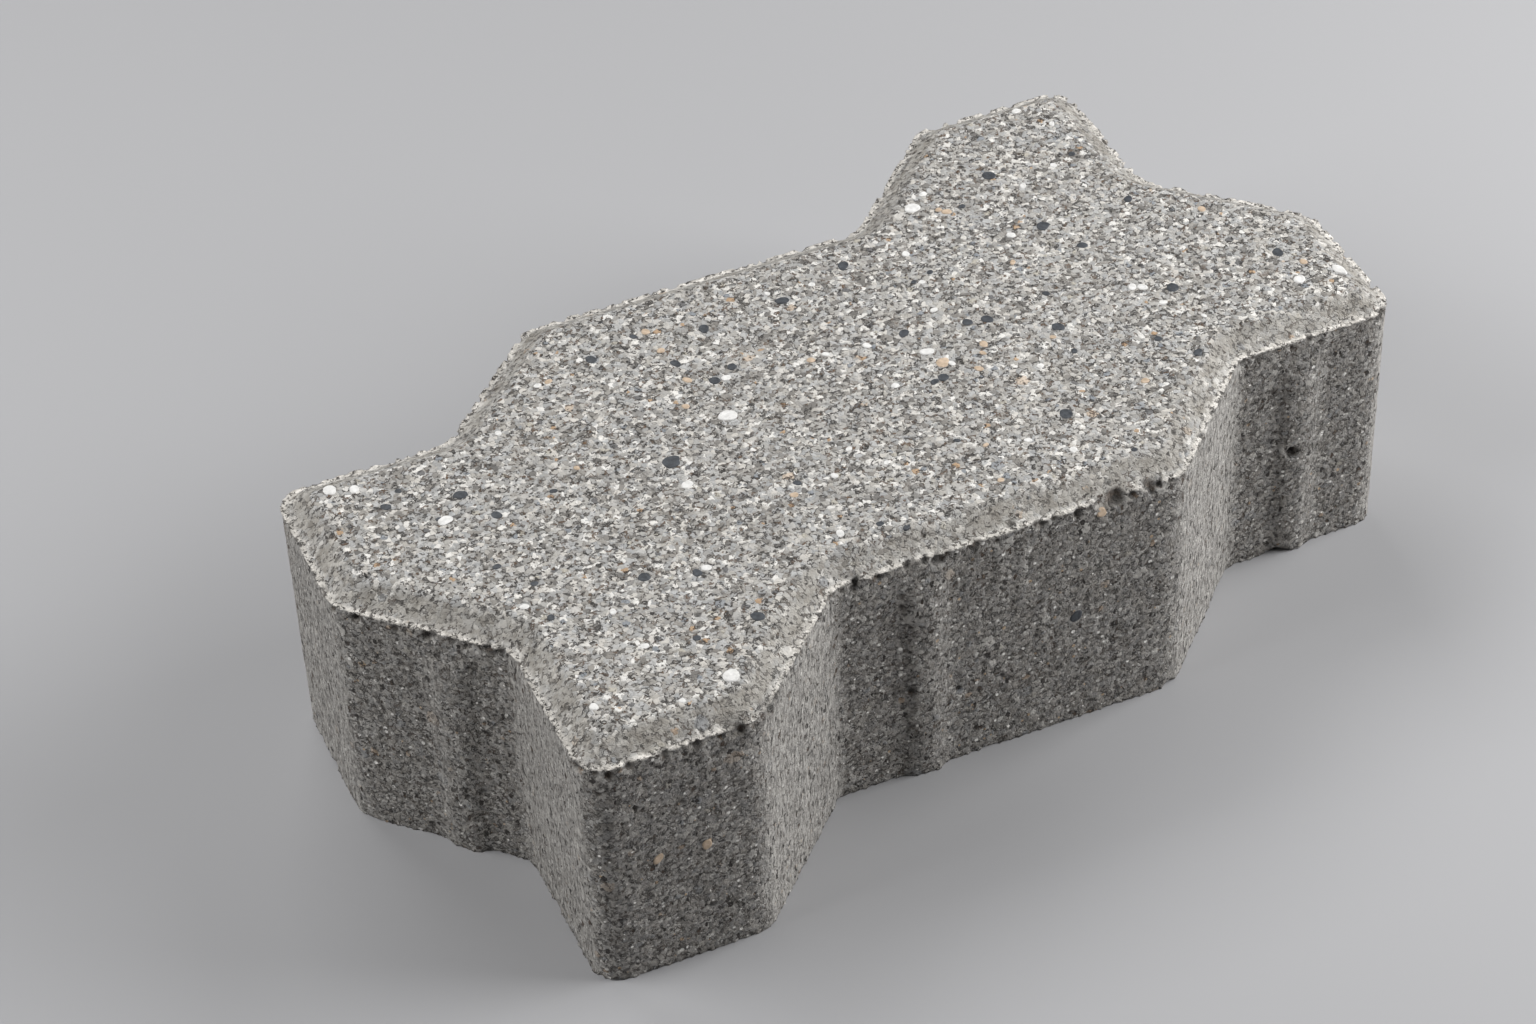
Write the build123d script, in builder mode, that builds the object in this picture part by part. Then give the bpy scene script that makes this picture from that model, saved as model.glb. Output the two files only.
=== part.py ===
from build123d import *
import math
import os

# A concrete paving stone of the interlocking zigzag kind, pressed in one piece.
# Sizes are in millimetres. The stone lies on its bed face at z = 0, its length
# runs along X, and the origin is the middle of the bed face.

# Laying pattern: each stone fills one cell of this length and width, and the
# zigzag edges of the cells fit each other when the stones are laid in rows.
cell_length = 225.0
cell_width = 112.5
bend_angle = 45.0
joint_width = 3.0

# Body, and the sloped crown round the wearing face
thickness = 65.0
chamfer_run = 5.8
chamfer_drop = 4.0
arris_land = 1.2

# Rounding of the outline: the mould rounds the walls, and the press head, which
# makes the slope, has rounding of its own where the slope meets the wearing face.
corner_radius = 6.5
bend_radius = 8.0
crown_corner_radius = 1.5
crown_bend_radius = 2.0

# Spacer ribs on the walls, which keep the joint open. Each place is measured
# along its wall from the bend or corner where the wall starts, anticlockwise.
rib_foot_width = 11.0
rib_crown_width = 5.0
rib_height = 1.5
rib_edge_radius = 1.5
rib_head_gap = 3.0
rib_head_slope = 7.0
rib_root = 1.0
long_run_rib_place = 19.5
short_run_rib_place = 15.0
end_rib_place = 26.5

# Sizes worked out from those above
land_level = thickness - chamfer_drop
crown_inset = arris_land + chamfer_run
hollow_radius = bend_radius - joint_width
setback = joint_width / 2
rib_top = land_level - rib_head_gap
half_length = cell_length / 2
half_width = cell_width / 2

# One unit of the zigzag replaces a straight chord by three runs of equal
# length: down, up, down. Both slopes follow from the angle at each bend.
bend = math.radians(bend_angle)
down_slope = math.atan(math.sin(bend) / (2 + math.cos(bend)))
up_slope = bend - down_slope


def zigzag(start, heading, chord):
    """Return the first three corners of one unit that sets out from start at heading."""
    run = chord / (2 * math.cos(down_slope) + math.cos(up_slope))
    down = Vector(run, 0).rotate(Axis.Z, heading - math.degrees(down_slope))
    up = Vector(run, 0).rotate(Axis.Z, heading + math.degrees(up_slope))
    return [start, start + down, start + down + up]


# Half of the cell's outline runs anticlockwise from the near left corner: two
# units along the near side and one along the right end. The middle of the near
# side is left out, because the runs on both sides of it are in line.
near_side = zigzag(Vector(-half_length, -half_width), 0, half_length)
near_side += zigzag(Vector(0, -half_width), 0, half_length)[1:]
right_end = zigzag(Vector(half_length, -half_width), 90, cell_width)
half_outline = near_side + right_end
outline = half_outline + [corner.rotate(Axis.Z, 180) for corner in half_outline]


# Each half starts at a square corner. Then bends and hollows take turns up to
# the next square corner, and again up to the end of the half.
half_kinds = ["square", "bend", "hollow", "bend", "hollow", "square", "bend", "hollow"]


def stone_outline(inset, square_radius, outward_radius):
    """Return the outline at this inset from the stone's walls, with these radii at it."""
    back = setback + inset
    radii = {"square": square_radius + back, "bend": outward_radius + back, "hollow": hollow_radius - setback}
    with BuildSketch() as sketch:
        with BuildLine():
            FilletPolyline(*outline, radius=[radii[kind] for kind in half_kinds * 2], close=True)
        make_face()
        offset(amount=-back)
    return sketch.sketch


def rib_frame(wall, place):
    """Return the frame of a rib on the wall that starts at this corner: X along it, Y inwards."""
    start = outline[wall]
    along = (outline[wall + 1] - start).normalized()
    inwards = along.rotate(Axis.Z, 90)
    return Plane(origin=start + along * place + inwards * setback, x_dir=along, z_dir=(0, 0, 1))


# Each half carries a rib on its long run, on its last short run and on its end.
half_ribs = [(2, long_run_rib_place), (4, short_run_rib_place), (6, end_rib_place)]
rib_frames = [rib_frame(wall, place) for wall, place in half_ribs]
rib_frames += [rib_frame(wall + len(half_outline), place) for wall, place in half_ribs]

with BuildPart() as rib:
    # Plan of the rib: a trapezoid with softened edges that stands out along -Y
    with BuildSketch() as rib_plan:
        with BuildLine():
            Polyline(
                (-rib_foot_width / 2, 0),
                (-rib_crown_width / 2, -rib_height),
                (rib_crown_width / 2, -rib_height),
                (rib_foot_width / 2, 0),
                (rib_foot_width / 2, rib_root),
                (-rib_foot_width / 2, rib_root),
                close=True,
            )
        make_face()
        fillet(rib_plan.vertices().group_by(Axis.Y)[0], rib_edge_radius)
    extrude(amount=rib_top)
    # Side view: the head slopes back into the wall
    with BuildSketch(Plane.YZ):
        with BuildLine():
            Polyline(
                (rib_root, 0),
                (-rib_height, 0),
                (-rib_height, rib_top - rib_head_slope),
                (0, rib_top),
                (rib_root, rib_top),
                close=True,
            )
        make_face()
    extrude(amount=rib_foot_width, both=True, mode=Mode.INTERSECT)

with BuildPart() as paving_stone:
    # Walls, up to the narrow land round the foot of the slope
    with BuildSketch():
        add(stone_outline(0, corner_radius, bend_radius))
    extrude(amount=land_level)
    # Slope, from the land up to the edge of the wearing face
    with BuildSketch(Plane.XY.offset(land_level)):
        add(stone_outline(arris_land, corner_radius - arris_land, bend_radius - arris_land))
    with BuildSketch(Plane.XY.offset(thickness)):
        add(stone_outline(crown_inset, crown_corner_radius, crown_bend_radius))
    loft(ruled=True)
    # Spacer ribs
    for frame in rib_frames:
        with Locations(frame):
            add(rib.part)

paving_stone.part.label = "paving_stone"
os.makedirs("parts", exist_ok=True)
export_step(paving_stone.part, "parts/paving_stone.step")
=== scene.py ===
import math
import random
import bpy
import bmesh
import numpy as np
from mathutils import Matrix, Vector, noise
from mathutils.bvhtree import BVHTree


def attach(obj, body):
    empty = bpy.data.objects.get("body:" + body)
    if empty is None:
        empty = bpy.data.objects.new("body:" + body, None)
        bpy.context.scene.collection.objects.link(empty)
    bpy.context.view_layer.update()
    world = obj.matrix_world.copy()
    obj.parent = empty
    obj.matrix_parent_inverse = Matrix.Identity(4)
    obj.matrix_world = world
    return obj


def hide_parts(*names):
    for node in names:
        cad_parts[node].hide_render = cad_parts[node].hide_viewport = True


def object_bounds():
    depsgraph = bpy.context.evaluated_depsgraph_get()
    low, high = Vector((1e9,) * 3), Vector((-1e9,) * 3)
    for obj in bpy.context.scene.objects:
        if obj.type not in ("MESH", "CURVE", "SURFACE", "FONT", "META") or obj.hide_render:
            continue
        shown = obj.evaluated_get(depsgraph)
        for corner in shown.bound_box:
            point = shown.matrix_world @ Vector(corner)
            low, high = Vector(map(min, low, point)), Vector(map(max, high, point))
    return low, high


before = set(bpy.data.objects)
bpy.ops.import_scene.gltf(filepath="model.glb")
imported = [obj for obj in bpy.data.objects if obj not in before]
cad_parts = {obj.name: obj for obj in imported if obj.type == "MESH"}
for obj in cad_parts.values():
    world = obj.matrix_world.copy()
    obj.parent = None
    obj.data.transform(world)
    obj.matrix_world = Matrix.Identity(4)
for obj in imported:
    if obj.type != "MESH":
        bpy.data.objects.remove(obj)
cad_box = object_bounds()

# The stone: one block of dry concrete, pressed and shaken in a steel mould. The
# press head leaves the slope and a crumbly lip round it, the mould drags the walls
# as it is lifted off, and handling breaks small chips out of the edges.
MM = 0.001
land_level = 61 * MM
slope_reach = 8 * MM
grid_size = 0.62 * MM
snap_reach = 0.34 * MM
softening_strokes = 22
most_triangles = 192000
random.seed(39)

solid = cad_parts["paving_stone"]
blank = bmesh.new()
blank.from_mesh(solid.data)
bmesh.ops.remove_doubles(blank, verts=blank.verts, dist=0.001 * MM)


def rim_at(level):
    """Both ends of each straight stretch of the rim where the walls end at this level."""
    stretches = [
        [corner.co for corner in edge.verts]
        for edge in blank.edges
        if all(abs(corner.co.z - level) < 0.01 * MM for corner in edge.verts)
        and sum(abs(face.normal.z) < 0.1 for face in edge.link_faces) == 1
    ]
    ends = np.array(stretches)
    return ends[:, 0], ends[:, 1]


def from_rim(rim, places, furthest=10 * MM):
    """How far each place is from a rim, and the nearest point of the rim."""
    nearest = np.full(len(places), 1.0)
    points = places.copy()
    close = np.flatnonzero(np.abs(places[:, 2] - rim[0][0][2]) < furthest)
    for start, end in zip(*rim):
        run = end - start
        along = np.clip((places[close] - start) @ run / (run @ run), 0, 1)
        here = start + along[:, None] * run
        gap = np.linalg.norm(places[close] - here, axis=1)
        closer = gap < nearest[close]
        nearest[close[closer]] = gap[closer]
        points[close[closer]] = here[closer]
    return nearest, points


def ripple(places, size, octaves=2, stretch=1.0):
    """Smooth noise from about -1 to 1, with lumps of this size, drawn out upwards by stretch."""
    scaled = places / (size * np.array([1, 1, stretch]))
    return np.array([noise.fractal(place, 0.8, 2.1, octaves) for place in scaled])


def coordinates(mesh, kind="co"):
    """The places or normals of a mesh's vertices as an array."""
    flat = np.zeros(len(mesh.vertices) * 3, np.float32)
    if kind == "co":
        mesh.vertices.foreach_get("co", flat)
    else:
        mesh.vertex_normals.foreach_get("vector", flat)
    return flat.reshape(-1, 3).astype(float)


def use_modifiers():
    """Swap the stone's mesh for what its modifiers make of it."""
    evaluated = stone.evaluated_get(bpy.context.evaluated_depsgraph_get())
    stone.data = bpy.data.meshes.new_from_object(evaluated)
    stone.modifiers.clear()


def move_to(places):
    """Put the stone's vertices at these places."""
    stone.data.vertices.foreach_set("co", places.astype(np.float32).ravel())
    stone.data.update()


arris = rim_at(land_level)
foot = rim_at(0)

stone = bpy.data.objects.new("concrete_stone", bpy.data.meshes.new("concrete_stone"))
bpy.context.scene.collection.objects.link(stone)
blank.to_mesh(stone.data)
blank.free()
even_grid = stone.modifiers.new("even_grid", "REMESH")
even_grid.mode = "VOXEL"
even_grid.voxel_size = grid_size
use_modifiers()

places = coordinates(stone.data)
outward = coordinates(stone.data, "normal")
to_arris, arris_points = from_rim(arris, places)
to_foot = from_rim(foot, places)[0]

# The grid rounds the arris off, so its nearest points go back on it.
sharp = to_arris < snap_reach
places[sharp] = arris_points[sharp]

# The drag of the mould wears the ribs' edges soft.
softened = bmesh.new()
softened.from_mesh(stone.data)
softened.verts.ensure_lookup_table()
upright = np.abs(outward[:, 2]) < 0.3
wall_middle = np.flatnonzero(upright & (to_arris > 1.8 * MM) & (to_foot > 1.2 * MM))
ribbed_walls = [softened.verts[spot] for spot in wall_middle]
for stroke in range(softening_strokes):
    bmesh.ops.smooth_vert(
        softened, verts=ribbed_walls, factor=0.5, use_axis_x=True, use_axis_y=True
    )
places[wall_middle] = [corner.co for corner in ribbed_walls]
softened.free()

# Grit on the face and drag marks on the walls. The press leaves the slope smoother,
# and the underside stays flat. Depths are in millimetres.
face_grit = 0.13
slope_smoothing = 0.06
wall_grit = 0.10
drag_depth = 0.10
swell_depth = 0.06
upward = outward[:, 2] > 0.4
on_wall = np.abs(outward[:, 2]) <= 0.4
slope_share = np.clip((slope_reach - to_arris) / MM, 0, 1) * upward
grit_depth = np.where(upward, face_grit - slope_smoothing * slope_share, wall_grit)
worked = upward | on_wall
worn_away = np.zeros(len(places))
worn_away[worked] = swell_depth * (ripple(places[worked], 8 * MM) + 1) * MM
worn_away[worked] += grit_depth[worked] * (ripple(places[worked], 1.9 * MM, 3) + 1) * MM
worn_away[on_wall] += drag_depth * (ripple(places[on_wall] + 0.3, 1.5 * MM, 2, 9) + 1) * MM

# The lip: squeezed up in crumbs, with notches torn out of it, most of all at the
# front left bend. The foot is notched too, but less.
broken_bend = np.array([-76, -64.5, 61]) * MM
break_reach = 12 * MM
lip_width = 2.2 * MM
notch_reach = 2.0 * MM
lip_notch = 0.75
crest_width = 1.6 * MM
crest_height = 0.26
foot_width = 2.0 * MM
foot_notch = 0.45
at_lip = np.flatnonzero(to_arris < lip_width)
rim = places[at_lip]
near_break = np.exp(-(np.linalg.norm(rim - broken_bend, axis=1) / break_reach) ** 2)
torn = np.clip(2.0 * (ripple(rim, 3.4 * MM, 2) - 0.18 + 0.35 * near_break), 0, 1)
torn += 0.2 * np.clip(0.5 + ripple(rim + 0.2, 1.2 * MM, 1), 0, 1)
at_edge = np.clip(1.15 - to_arris[at_lip] / notch_reach, 0, 1)
worn_away[at_lip] += at_edge * torn * lip_notch * MM
at_foot = np.flatnonzero(to_foot < foot_width)
torn = np.clip(0.25 + 1.2 * ripple(places[at_foot] + 0.1, 4.5 * MM, 3), 0, 1.6)
worn_away[at_foot] += (1 - to_foot[at_foot] / foot_width) * torn * foot_notch * MM
places -= outward * worn_away[:, None]
squeezed = np.flatnonzero((to_arris < crest_width) & upward)
crest = np.clip(0.55 + ripple(places[squeezed] + 0.4, 2.4 * MM, 2), 0, 1.3)
at_crest = np.clip((crest_width - to_arris[squeezed]) / MM, 0, 1)
places[squeezed, 2] += at_crest * crest * crest_height * MM

# Chips and blow holes: place, half width and depth in millimetres, then how much shade is painted
# inside each.
edge_chips = [
    (23.5, -60.4, 60.6, 2.6, 2.0, 0.8),
    (20.5, -59.6, 60, 2.0, 1.2, 0.1),
    (31, -62, 61, 2.0, 1.2, 0.5),
    (41, -64, 61, 1.7, 1.0, 0.25),
    (-79, -64.3, 60.5, 3.6, 2.3, 0.4),
    (-85, -64.5, 61, 1.7, 1.1, 0.5),
    (-70, -64, 61, 3.0, 1.9, 0.4),
    (-22, -49, 61, 1.4, 0.9, 0.6),
    (-34, -45.5, 61, 1.6, 1.0, 0.6),
    (85, -48.5, 0, 3.4, 1.8, 0.4),
    (38, -64, 0, 2.4, 1.2, 0.25),
    (-117, 34, 0, 2.0, 1.0, 0.25),
    (-109, -47, 0, 1.6, 0.9, 0.25),
]
blow_holes = [
    (86.7, -49.2, 30, 1.5, 1.9, 1.0),
    (-23.8, -50, 25.6, 1.2, 1.3, 1.0),
]
bites = []


def break_out(x, y, z, half_width, depth, darkness):
    """Press the rough cap of a ball into the surface at this place."""
    place = np.array([x, y, z]) * MM
    near = np.linalg.norm(places - place, axis=1) < 1.6 * half_width * MM
    if not near.any():
        return
    out = outward[near].mean(axis=0)
    out /= np.linalg.norm(out)
    ball = (half_width ** 2 + depth ** 2) / (2 * depth) * MM
    reach = places[near] - (place + out * (ball - depth * MM))
    ball = ball * (1 + 0.10 * ripple(places[near], 1.3 * MM))
    inward = -(reach @ out)
    room = ball ** 2 - (reach ** 2).sum(axis=1) + inward ** 2
    push = np.sqrt(np.clip(room, 0, None)) - inward
    places[near] -= out * np.clip(np.where(room > 0, push, 0), 0, depth * 1.3 * MM)[:, None]
    bites.append((place - out * depth * MM, half_width * MM, darkness))


for place_and_size in edge_chips + blow_holes:
    break_out(*place_and_size)
under_lip = np.flatnonzero((to_arris < 1.8 * MM) & (to_arris > 0.4 * MM) & on_wall)
slope_crest = np.flatnonzero((np.abs(to_arris - slope_reach) < 0.7 * MM) & upward)
open_surface = np.flatnonzero((to_arris > 2 * MM) & worked)
# Where small bits tear out, how many, their least and most half width, and how much shade is
# painted inside them
torn_places = (
    (under_lip, 200, 0.5, 1.2, 0.8),
    (slope_crest, 90, 0.5, 1.0, 0.4),
    (open_surface, 420, 0.4, 0.85, 0.7),
)
for spots, count, smallest, largest, darkness in torn_places:
    for bite in range(count):
        spot = spots[random.randrange(len(spots))]
        size = random.uniform(smallest, largest)
        break_out(*(places[spot] / MM), size, size * random.uniform(0.55, 0.95), darkness)

low, high = (np.array(corner) for corner in cad_box)
move_to(np.clip(places, low, high))

triangles = sum(len(face.vertices) - 2 for face in stone.data.polygons)
thin_out = stone.modifiers.new("thin_out", "DECIMATE")
thin_out.ratio = most_triangles / triangles
thin_out.use_collapse_triangulate = True
use_modifiers()
stone.data.name = "concrete_stone"
stone.data.shade_smooth()

# Thinning can leave a corner a hair outside the solid's box, so it is brought back in.
places = np.clip(coordinates(stone.data), low, high)
move_to(places)

# Where each kind of finish lies, and how much shade is painted in each hollow, kept as numbers on
# the mesh for the material. The mould rubs hardest on the walls that face along either of two
# directions.
outward = coordinates(stone.data, "normal")
to_arris = from_rim(arris, places)[0]
upward = np.clip((outward[:, 2] - 0.2) / 0.3, 0, 1)
walls = np.clip((0.5 - outward[:, 2]) / 0.3, 0, 1) * (places[:, 2] < land_level + 0.2 * MM)
rubbed_directions = np.array([[0.505, -0.863, 0], [-0.967, 0.253, 0]])
facing = np.abs(outward @ rubbed_directions.T).max(axis=1)
dragged = np.clip((facing - 0.80) / 0.15, 0, 1) * walls
lip = np.clip((lip_width - to_arris) / MM, 0, 1) * upward
slope = np.clip((slope_reach - 0.4 * MM - to_arris) / MM, 0, 1) * upward * (1 - lip)
# Shade is painted into each chip and hole, darkest at its middle.
hollow = np.zeros(len(places))
for place, half_width, darkness in bites:
    near = np.flatnonzero((np.abs(places - place) < half_width * 1.2).all(axis=1))
    depth = 1.25 - np.linalg.norm(places[near] - place, axis=1) / half_width
    hollow[near] = np.maximum(hollow[near], np.clip(depth * 1.5, 0, 1) * darkness)
layers = {"walls": walls, "dragged": dragged, "lip": lip, "slope": slope, "hollow": hollow}
for name, amount in layers.items():
    layer = stone.data.attributes.new(name, "FLOAT", "POINT")
    layer.data.foreach_set("value", amount.astype(np.float32))

# Concrete of dry grey cement with sand and fine gravel from a river, which shows at
# the wearing face. Sizes in the material are in millimetres.
concrete = bpy.data.materials.new("pressed_concrete")
concrete.use_nodes = True
mix = concrete.node_tree
mix.nodes.clear()


def put(kind, inputs=None, **settings):
    """Add a node to the concrete, with values or other nodes' outputs on its inputs."""
    made = mix.nodes.new(kind)
    for name, value in settings.items():
        setattr(made, name, value)
    for name, value in (inputs or {}).items():
        if isinstance(value, bpy.types.NodeSocket):
            mix.links.new(value, made.inputs[name])
        else:
            made.inputs[name].default_value = value
    return made


def reckon(kind, *terms):
    """The result of a Math node on these terms."""
    return put("ShaderNodeMath", dict(enumerate(terms)), operation=kind).outputs[0]


def remap(kind, inputs):
    """Places worked out by a Vector Math node, whose input 3 is a scale."""
    return put("ShaderNodeVectorMath", inputs, operation=kind).outputs[0]


def most_of(*terms):
    """The largest of several values."""
    largest = terms[0]
    for term in terms[1:]:
        largest = reckon("MAXIMUM", largest, term)
    return largest


def both(*terms):
    """Several shares multiplied together."""
    product = terms[0]
    for term in terms[1:]:
        product = reckon("MULTIPLY", product, term)
    return product


def fade(value, start, end, low=0.0, high=1.0):
    """Low up to start, high from end on, and even between. Either may be the larger."""
    inputs = {"Value": value, "From Min": start, "From Max": end, "To Min": low, "To Max": high}
    return put("ShaderNodeMapRange", inputs, clamp=True).outputs["Result"]


def lay(under, over, amount):
    """One colour laid over another by this amount. A Mix node's inputs 6 and 7 are colours."""
    made = put("ShaderNodeMix", {0: amount, 6: under, 7: over}, data_type="RGBA", clamp_factor=True)
    return made.outputs[2]


def shades(value, stops, blend="CONSTANT"):
    """A colour picked by value from bands, each given as (start, colour)."""
    ramp = put("ShaderNodeValToRGB", {"Fac": value})
    ramp.color_ramp.interpolation = blend
    for index, (start, colour) in enumerate(stops):
        if index < 2:
            stop = ramp.color_ramp.elements[index]
            stop.position = start
        else:
            stop = ramp.color_ramp.elements.new(start)
        stop.color = (*colour, 1)
    return ramp.outputs["Color"]


def speckle(where, size, detail=2.0, roughness=0.6):
    """Noise with lumps of this many millimetres, from 0 to 1."""
    inputs = {"Vector": where, "Scale": 1 / size, "Detail": detail, "Roughness": roughness}
    return put("ShaderNodeTexNoise", inputs).outputs["Fac"]


def mesh_layer(name):
    """One of the mesh's layers: a finish, or the shade painted in the hollows."""
    return put("ShaderNodeAttribute", attribute_name=name).outputs["Fac"]


def grains(where, spacing, smallest, biggest, presence, colours):
    """Loose grains one to a cell: their cover, colour, dome height and the line of painted shade
    round each rim.
    """
    cells = put("ShaderNodeTexVoronoi", {"Vector": where, "Scale": 1 / spacing, "Randomness": 0.9})
    draw = put("ShaderNodeSeparateColor", {"Color": cells.outputs["Color"]})
    far = reckon("MULTIPLY", cells.outputs["Distance"], spacing)
    radius = reckon("MULTIPLY_ADD", draw.outputs["Green"], biggest - smallest, smallest)
    inside = reckon("SUBTRACT", radius, far)
    here = reckon("LESS_THAN", draw.outputs["Blue"], presence)
    cover = both(fade(inside, 0, 0.10), here)
    rim = both(fade(reckon("ABSOLUTE", inside), 0.17, 0.08), here)
    dome = both(fade(inside, 0, 0.40), here)
    return cover, shades(draw.outputs["Red"], colours), dome, rim


def packed(where, spacing, colours):
    """Grains that touch all over: their colour, the line of painted shade between them and their
    dome.
    """
    inputs = {"Vector": where, "Scale": 1 / spacing, "Randomness": 1.0}
    cells = put("ShaderNodeTexVoronoi", inputs)
    between = put("ShaderNodeTexVoronoi", inputs, feature="DISTANCE_TO_EDGE")
    draw = put("ShaderNodeSeparateColor", {"Color": cells.outputs["Color"]})
    edge = reckon("MULTIPLY", between.outputs["Distance"], spacing)
    colour = shades(draw.outputs["Red"], colours, "LINEAR")
    return colour, fade(edge, 0.14, 0.07), fade(edge, 0, 0.25)


object_place = put("ShaderNodeTexCoord").outputs["Object"]
in_mm = remap("SCALE", {0: object_place, 3: 1 / MM})
wobble = put("ShaderNodeTexNoise", {"Vector": in_mm, "Scale": 1.1, "Detail": 2.0}).outputs["Color"]
centred = remap("SUBTRACT", {0: wobble, 1: (0.5, 0.5, 0.5)})
shift = remap("SCALE", {0: centred, 3: 1.7})
uneven = remap("ADD", {0: in_mm, 1: shift})
drawn_out = remap("MULTIPLY", {0: in_mm, 1: (1, 1, 0.3)})
rubbed = remap("MULTIPLY", {0: uneven, 1: (1, 1, 0.6)})

on_walls = mesh_layer("walls")
on_slope = mesh_layer("slope")
on_lip = mesh_layer("lip")
drag = mesh_layer("dragged")
in_hollow = mesh_layer("hollow")

# Cement paste: pale on the face, browner on the slope and darker on the walls, with broad warm and
# cool clouds and fine dust; on the lip it is paler still, pale crumbs with a painted highlight
# along the edge. A film of it lies over the sand there.
warm_face = (0.43, 0.41, 0.382, 1)
cool_face = (0.40, 0.402, 0.405, 1)
brown_slope = (0.27, 0.252, 0.226, 1)
pale_slope = (0.44, 0.425, 0.40, 1)
bare_wall = (0.065, 0.061, 0.056, 1)
dusty_wall = (0.36, 0.343, 0.325, 1)
# The lip is painted paler than the face: pale crumbs, and partly a painted highlight along the
# edge.
grey_lip = (0.50, 0.48, 0.45, 1)
crumbs_and_highlight_lip = (0.86, 0.835, 0.80, 1)
cloud = fade(speckle(in_mm, 17, 3), 0.34, 0.66)
slope_film = both(on_slope, fade(speckle(in_mm, 9, 3, 0.65), 0.38, 0.62, 0.30, 0.95))
film = most_of(slope_film, both(on_walls, 0.62), both(on_lip, 0.95))
on_face = reckon("SUBTRACT", 1.0, film)
face_paste = lay(warm_face, cool_face, cloud)
smears = fade(speckle(in_mm, 5, 5, 0.7), 0.38, 0.62)
slope_paste = lay(brown_slope, pale_slope, smears)
dust = fade(speckle(in_mm, 0.9, 4, 0.8), 0.40, 0.59)
wall_paste = lay(bare_wall, dusty_wall, dust)
crumbs = fade(speckle(in_mm, 1.4, 3), 0.35, 0.62)
lip_paste_and_highlight = lay(grey_lip, crumbs_and_highlight_lip, crumbs)
paste = lay(lay(lay(face_paste, slope_paste, on_slope), wall_paste, on_walls), lip_paste_and_highlight, on_lip)

# Sand packed all over, each grain with its own grey
sand_tones = [
    (0, (0.12, 0.115, 0.11)), (0.20, (0.33, 0.315, 0.295)), (0.36, (0.385, 0.395, 0.41)),
    (0.52, (0.46, 0.442, 0.415)), (0.70, (0.505, 0.515, 0.53)), (0.85, (0.63, 0.605, 0.57)),
    (1, (0.90, 0.895, 0.885)),
]
sand_colour, sand_shade_line, sand_dome = packed(uneven, spacing=1.15, colours=sand_tones)
colour = lay(paste, sand_colour, both(on_face, 0.85))

# Fine gravel between the sand: mostly pale greys, some white, dark, tan and blue-grey
grit_tones = [
    (0, (0.13, 0.13, 0.135)), (0.05, (0.27, 0.265, 0.258)), (0.20, (0.38, 0.37, 0.358)),
    (0.45, (0.53, 0.52, 0.505)), (0.70, (0.88, 0.865, 0.84)), (0.86, (0.50, 0.34, 0.21)),
    (0.90, (0.50, 0.475, 0.42)), (0.94, (0.27, 0.295, 0.33)),
]
grit_cover, grit_colour, grit_dome, grit_rim_shade = grains(
    uneven, spacing=1.9, smallest=0.35, biggest=0.95, presence=0.62, colours=grit_tones
)
colour = lay(colour, grit_colour, both(grit_cover, fade(on_face, 0, 1, 0.12, 0.88)))
gravel_tones = [
    (0, (0.24, 0.235, 0.23)), (0.10, (0.36, 0.355, 0.345)), (0.35, (0.50, 0.49, 0.478)),
    (0.60, (0.64, 0.625, 0.605)), (0.78, (0.84, 0.825, 0.80)), (0.88, (0.62, 0.51, 0.41)),
    (0.94, (0.31, 0.33, 0.36)),
]
gravel_cover, gravel_colour, gravel_dome, gravel_rim_shade = grains(
    uneven, spacing=4.4, smallest=0.8, biggest=1.9, presence=0.6, colours=gravel_tones
)
colour = lay(colour, gravel_colour, both(gravel_cover, fade(on_face, 0, 1, 0.10, 0.78)))

# Walls: pale flecks of sand and dark pinholes, drawn out where the mould rubs along
fleck_tones = [(0, (0.60, 0.59, 0.575)), (0.6, (0.92, 0.91, 0.895)), (0.9, (0.50, 0.38, 0.27))]
fleck_cover, fleck_colour = grains(
    in_mm, spacing=1.45, smallest=0.18, biggest=0.52, presence=0.6, colours=fleck_tones
)[:2]
colour = lay(colour, fleck_colour, both(fleck_cover, on_walls))
pale_rub = (0.535, 0.522, 0.505, 1)
dark_rub = (0.107, 0.103, 0.098, 1)
streaks = fade(speckle(drawn_out, 0.9, 4, 0.7), 0.36, 0.66)
smooth_paste = lay(pale_rub, dark_rub, streaks)
colour = lay(colour, smooth_paste, both(drag, 0.66))

# Painted shade in the open gaps beside the grains, in the pores of the paste and in the hollows
# where bits broke out, with rust in some of them on the face
gap_places = fade(speckle(in_mm, 1.15, 1.5, 0.5), 0.53, 0.57)
gap_shade_lines = most_of(both(sand_shade_line, 0.8), grit_rim_shade, gravel_rim_shade)
slope_joints = fade(on_slope, 0, 1, 1, 0.6)
wall_joints = fade(on_walls, 0, 1, 1, 0.8)
rubbed_joints = fade(drag, 0, 1, 1, 0.3)
open_joints = both(slope_joints, wall_joints, rubbed_joints)
gaps = both(gap_shade_lines, gap_places, open_joints)
pores = fade(speckle(uneven, 1.2, 2, 0.55), 0.63, 0.66)
pinhole_cover = grains(
    rubbed, spacing=2.0, smallest=0.14, biggest=0.6, presence=0.68, colours=fleck_tones
)[0]
pinholes = both(pinhole_cover, on_walls)
drag_marks = both(fade(speckle(drawn_out, 0.8, 2, 0.6), 0.63, 0.67), drag)
hole_shade = most_of(gaps, both(pores, 0.9), pinholes, drag_marks, in_hollow)
deep_shade = (0.032, 0.028, 0.026, 1)
rust = (0.17, 0.10, 0.055, 1)
rusty = both(fade(speckle(in_mm, 2.6, 2), 0.52, 0.62), on_face, 0.8)
hole_shade_and_rust = lay(deep_shade, rust, rusty)
colour = lay(colour, hole_shade_and_rust, both(hole_shade, 0.94))

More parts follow.
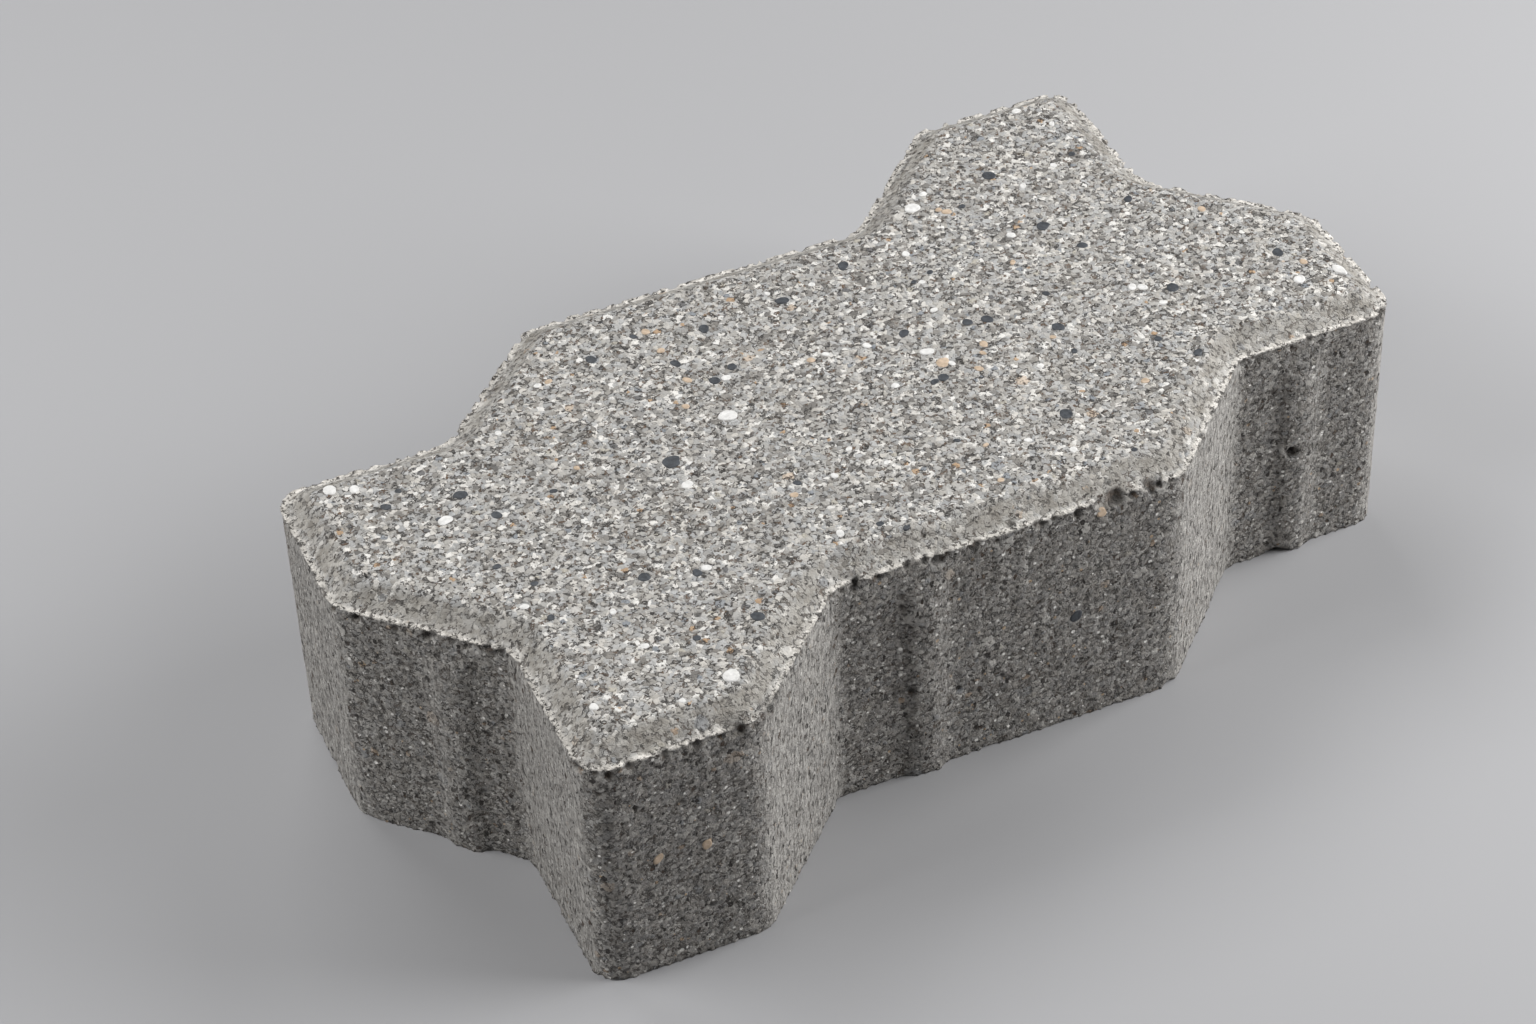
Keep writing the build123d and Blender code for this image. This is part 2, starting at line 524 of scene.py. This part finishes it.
# The cement's faint warm tone runs through everything
warm_tone = (1.0, 0.985, 0.955, 1)
tinted = {0: 1.0, 6: colour, 7: warm_tone}
colour = put("ShaderNodeMix", tinted, data_type="RGBA", blend_type="MULTIPLY").outputs[2]

# Height of the grains and holes, in millimetres
dome = most_of(both(sand_dome, 0.4), grit_dome, gravel_dome)
dome = both(dome, fade(most_of(on_walls, on_slope), 0, 1, 1, 0.7))
height = reckon("MULTIPLY_ADD", dome, 0.30, both(speckle(in_mm, 0.45, 2), 0.12))
height = reckon("MULTIPLY_ADD", speckle(in_mm, 1.6, 2), 0.25, height)
height = reckon("SUBTRACT", height, both(most_of(gaps, pores, pinholes, drag_marks), 0.40))
relief = put("ShaderNodeBump", {"Height": height, "Strength": 1.0, "Distance": MM})

finish = put("ShaderNodeBsdfPrincipled", {"Base Color": colour, "Normal": relief.outputs["Normal"]})
mix.links.new(fade(speckle(in_mm, 1.2, 2), 0.3, 0.7, 0.97, 0.78), finish.inputs["Roughness"])
put("ShaderNodeOutputMaterial", {"Surface": finish.outputs["BSDF"]})

stone.data.materials.append(concrete)
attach(stone, "root")
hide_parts("paving_stone")

# Larger stones of the gravel that lie open in the wearing face and walls: dark
# basalt, white quartz and tan flint, rounded by a river. The press sets them flush.
# Their places and widths are in millimetres.
dark_stones = [
    (-43, 5, 4.0), (30, -37, 3.2), (76, -20, 3.2), (102, -26, 2.8), (69, 15, 3.0), (72, 37, 3.0),
    (26, 33, 3.2), (8, 32, 3.0), (-11, 35.5, 2.6), (-23, 30, 2.6), (-36, 43, 2.6), (-83, 25, 3.0),
    (-81, 15, 2.6), (21, 6, 2.8), (38, -2, 2.6), (34, 0, 2.2), (48, -14, 2.8), (65, -40, 2.4),
    (18, -11, 2.4), (-58.5, -44, 3.0), (-69, -20, 2.6), (-97, 32, 2.4), (71, 4, 2.4), (90, 10, 2.6),
    (102, 17, 2.4), (-20, 20, 2.4), (-60, -26, 2.4),
]
white_stones = [
    (-25, 9, 4.2), (21, -2, 3.2), (51, 39, 3.6), (108, -39, 3.4), (-103, 44, 3.2), (-99, 41, 2.6),
    (-73, -54, 3.6), (-45, -3, 2.6), (-90, 20.5, 3.4), (112, -40, 3.0), (99, -36, 2.8),
]
tan_stones = [(21, -7, 3.4), (56, 33, 2.2), (104, -32, 2.0), (-30, -20, 1.8), (0, 12, 1.8)]
wall_stones = {
    "dark": [(14.8, -80, 30.5, 3.0), (-40, 80, 24, 3.0), (60, 80, 41, 2.6), (140, -10, 20, 2.8)],
    "tan": [(-86.4, -80, 31.4, 2.6), (-96.5, -80, 32, 2.8), (20, -80, 58, 2.2), (20, 80, 18, 2.6)],
}
lumpiness = 0.16
worn_top = 0.55
flattening = 0.7
stands_out = 0.13 * MM
flat_level = 64.2 * MM
flecks_per_metre = 1100
surface_tree = BVHTree.FromObject(stone, bpy.context.evaluated_depsgraph_get())


def set_stone(stones, place, out, width):
    """Bed one rounded stone in the surface at this place, turned to face out."""
    corners = bmesh.ops.create_icosphere(stones, subdivisions=3, radius=1)["verts"]
    seed = Vector([random.uniform(-50, 50) for axis in range(3)])
    for corner in corners:
        corner.co *= 1 + lumpiness * noise.noise(corner.co * 1.1 + seed)
        corner.co.z = min(corner.co.z, worn_top + 0.06 * noise.noise(corner.co * 2 + seed))
    # A stone is at its widest just under the surface.
    half = width * 0.58 * MM
    narrow = half * random.uniform(0.68, 0.92)
    shape = Matrix.Diagonal((half, narrow, half * flattening, 1))
    turn = out.to_track_quat("Z", "Y").to_matrix().to_4x4()
    turn @= Matrix.Rotation(random.uniform(0, 2 * math.pi), 4, "Z")
    lowered = Matrix.Translation(place - out * (half * worn_top * flattening - stands_out))
    bmesh.ops.transform(stones, matrix=lowered @ turn @ shape, verts=corners)


def gravel_paint(name, colours, roughness):
    """Paint for one kind of stone, mottled in fine flecks."""
    paint = bpy.data.materials.new(name)
    paint.use_nodes = True
    nodes = paint.node_tree.nodes
    links = paint.node_tree.links
    flecks = nodes.new("ShaderNodeTexNoise")
    flecks.inputs["Scale"].default_value = flecks_per_metre
    flecks.inputs["Detail"].default_value = 3
    where = nodes.new("ShaderNodeTexCoord")
    ramp = nodes.new("ShaderNodeValToRGB")
    for stop, position, colour in zip(ramp.color_ramp.elements, (0.3, 0.7), colours):
        stop.position = position
        stop.color = (*colour, 1)
    dents = nodes.new("ShaderNodeBump")
    dents.inputs["Distance"].default_value = 0.1 * MM
    shader = nodes["Principled BSDF"]
    shader.inputs["Roughness"].default_value = roughness
    links.new(where.outputs["Object"], flecks.inputs["Vector"])
    links.new(flecks.outputs["Fac"], ramp.inputs["Fac"])
    links.new(flecks.outputs["Fac"], dents.inputs["Height"])
    links.new(ramp.outputs["Color"], shader.inputs["Base Color"])
    links.new(dents.outputs["Normal"], shader.inputs["Normal"])
    return paint


# Each kind: its placed stones, how many more are strewn over the face, its two
# colours and how matt it is
kinds = [
    ("dark", dark_stones, 34, ((0.028, 0.032, 0.038), (0.075, 0.083, 0.095)), 0.55),
    ("white", white_stones, 60, ((0.66, 0.65, 0.63), (0.87, 0.86, 0.84)), 0.6),
    ("tan", tan_stones, 22, ((0.45, 0.34, 0.24), (0.66, 0.52, 0.39)), 0.65),
]
half_length = 118
half_breadth = 62
overhead = 80
past_the_end = 130
up = Vector((0, 0, 1))
for kind, on_top, strewn, colours, roughness in kinds:
    stones = bmesh.new()
    spots = list(on_top)
    for spot in range(strewn):
        x = random.uniform(-half_length, half_length)
        y = random.uniform(-half_breadth, half_breadth)
        spots.append((x, y, random.uniform(1.3, 2.2)))
    for x, y, width in spots:
        point = surface_tree.ray_cast(Vector((x, y, overhead)) * MM, -up)[0]
        if point is not None and point.z > flat_level:
            set_stone(stones, point, up, width)
    for x, y, z, width in wall_stones.get(kind, []):
        if abs(x) > past_the_end:
            inward = Vector((-1, 0, 0))
        else:
            inward = Vector((0, -1 if y > 0 else 1, 0))
        point, out = surface_tree.ray_cast(Vector((x, y, z)) * MM, inward)[:2]
        set_stone(stones, point, out, width)
    for corner in stones.verts:
        corner.co = np.clip(corner.co, low, high)
    name = kind + "_gravel"
    pieces = bpy.data.objects.new(name, bpy.data.meshes.new(name))
    bpy.context.scene.collection.objects.link(pieces)
    stones.to_mesh(pieces.data)
    stones.free()
    pieces.data.shade_smooth()
    pieces.data.materials.append(gravel_paint(name, colours, roughness))
    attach(pieces, "root")

# The floor: a wide sheet of plain pale board, flat and matt. The stone lies on it
# as it rests, and it fills the view behind.
floor_reach = 6
floor_colour = (0.41, 0.41, 0.42, 1)
floor = bpy.data.objects.new("floor", bpy.data.meshes.new("floor"))
bpy.context.scene.collection.objects.link(floor)
sheet = bmesh.new()
bmesh.ops.create_grid(sheet, x_segments=1, y_segments=1, size=floor_reach)
sheet.to_mesh(floor.data)
sheet.free()
floor_paint = bpy.data.materials.new("floor_paint")
floor_paint.use_nodes = True
floor_shader = floor_paint.node_tree.nodes["Principled BSDF"]
floor_shader.inputs["Base Color"].default_value = floor_colour
floor_shader.inputs["Roughness"].default_value = 0.9
floor.data.materials.append(floor_paint)

# Light: soft boxes at the right and left of the view and one behind the stone, so
# that the walls which face the camera stay in shade, as in the photo.
world = bpy.data.worlds.new("studio")
bpy.context.scene.world = world
world.use_nodes = True
air = world.node_tree.nodes["Background"]
air.inputs["Color"].default_value = (1, 1, 1, 1)
air.inputs["Strength"].default_value = 0.03
box_width = 0.7
box_height = 0.5
lamp_aim = Vector((0, 0, 0.03))


def soft_box(name, place, watts):
    """A broad lamp at this place, turned to the stone."""
    light = bpy.data.lights.new(name, "AREA")
    light.shape = "RECTANGLE"
    light.size = box_width
    light.size_y = box_height
    light.energy = watts
    lamp = bpy.data.objects.new(name, light)
    bpy.context.scene.collection.objects.link(lamp)
    lamp.location = place
    lamp.rotation_euler = (lamp_aim - Vector(place)).to_track_quat("-Z", "Y").to_euler()


soft_box("right_box", (0.69, -0.38, 0.46), 10.5)
soft_box("left_box", (-0.68, 0.36, 0.62), 6.5)
soft_box("back_box", (0.12, 0.75, 0.97), 4.85)

# The camera stands where the photo was taken from: ahead and above, found by fitting
# the edges of the stone's outline to where the photo shows them.
view_azimuth = 0.63841
view_drop = 0.72789
view_roll = -0.04367
view_distance = 866.3 * MM
view_aim = Vector((-17.55, 6.2, 35)) * MM
focal_pixels = 3979
photo_width = 1536
sensor_width = 36

ahead = Vector((
    math.sin(view_azimuth) * math.cos(view_drop),
    math.cos(view_azimuth) * math.cos(view_drop),
    -math.sin(view_drop),
))
level_right = Vector((math.cos(view_azimuth), -math.sin(view_azimuth), 0))
level_up = level_right.cross(ahead)
right = level_right * math.cos(view_roll) + level_up * math.sin(view_roll)
above = level_up * math.cos(view_roll) - level_right * math.sin(view_roll)
camera = bpy.data.objects.new("camera", bpy.data.cameras.new("camera"))
bpy.context.scene.collection.objects.link(camera)
camera.data.sensor_width = sensor_width
camera.data.lens = focal_pixels / photo_width * sensor_width
camera.matrix_world = Matrix((right, above, -ahead)).transposed().to_4x4()
camera.location = view_aim - ahead * view_distance
bpy.context.scene.camera = camera
bpy.context.scene.view_settings.view_transform = "Standard"
